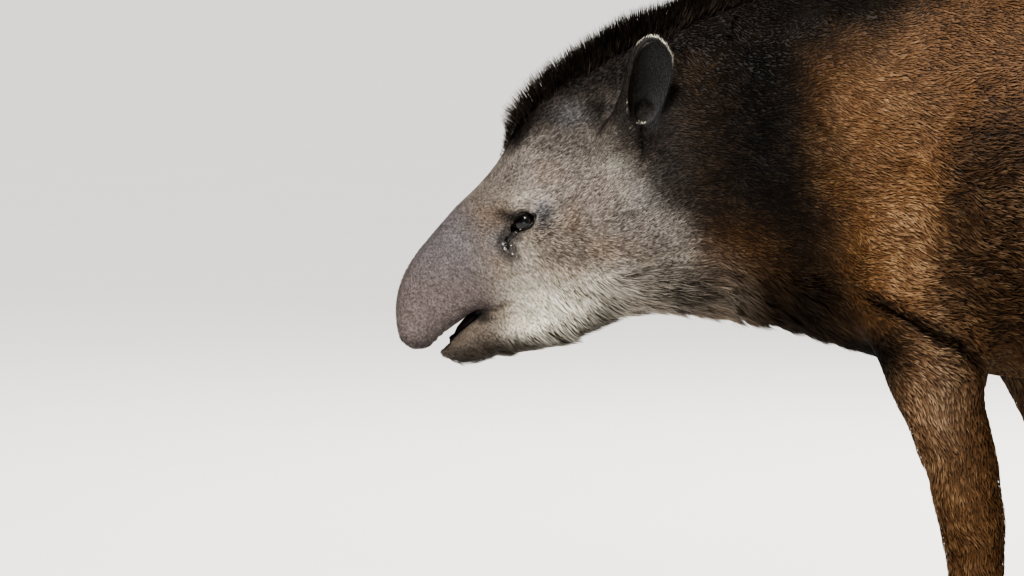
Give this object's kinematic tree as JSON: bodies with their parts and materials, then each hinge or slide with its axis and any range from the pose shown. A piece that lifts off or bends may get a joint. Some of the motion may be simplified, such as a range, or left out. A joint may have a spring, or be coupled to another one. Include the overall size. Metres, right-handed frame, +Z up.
{
  "type": "lowland tapir",
  "caption": "Life-size lowland tapir standing with its head lowered and mouth slightly open, with a short bristly mane, oval ears and brown coat.",
  "frame": {"origin": "on the floor, under the centre of the animal's bounding box", "axes": "+Z up, -X towards the head, -Y towards the animal's left side"},
  "size_m": [1.7654, 0.4726, 1.0096],
  "materials": {
    "body_coat": "short dense hair, damp",
    "dark_coat": "short dense hair and stiff mane",
    "head_coat": "short fine hair",
    "pale_coat": "short fine hair",
    "leg_coat": "short dense hair",
    "snout_skin": "near-bare skin, matte",
    "horn": "satin",
    "eye_gloss": "wet gloss"
  },
  "bodies": {
    "root": {"snout": "snout_skin", "head": "head_coat", "lower_jaw": "pale_coat", "ear_left": "dark_coat", "ear_right": "dark_coat", "eye_left": "eye_gloss", "eye_right": "eye_gloss", "neck": "dark_coat", "torso": "body_coat", "tail": "body_coat", "foreleg_left": "leg_coat", "forehoof_left_inner": "horn", "forehoof_left_middle": "horn", "forehoof_left_outer": "horn", "forehoof_left_side": "horn", "foreleg_right": "leg_coat", "forehoof_right_inner": "horn", "forehoof_right_middle": "horn", "forehoof_right_outer": "horn", "forehoof_right_side": "horn", "hindleg_left": "leg_coat", "hindhoof_left_inner": "horn", "hindhoof_left_middle": "horn", "hindhoof_left_outer": "horn", "hindleg_right": "leg_coat", "hindhoof_right_inner": "horn", "hindhoof_right_middle": "horn", "hindhoof_right_outer": "horn"}
  },
  "joints": []
}
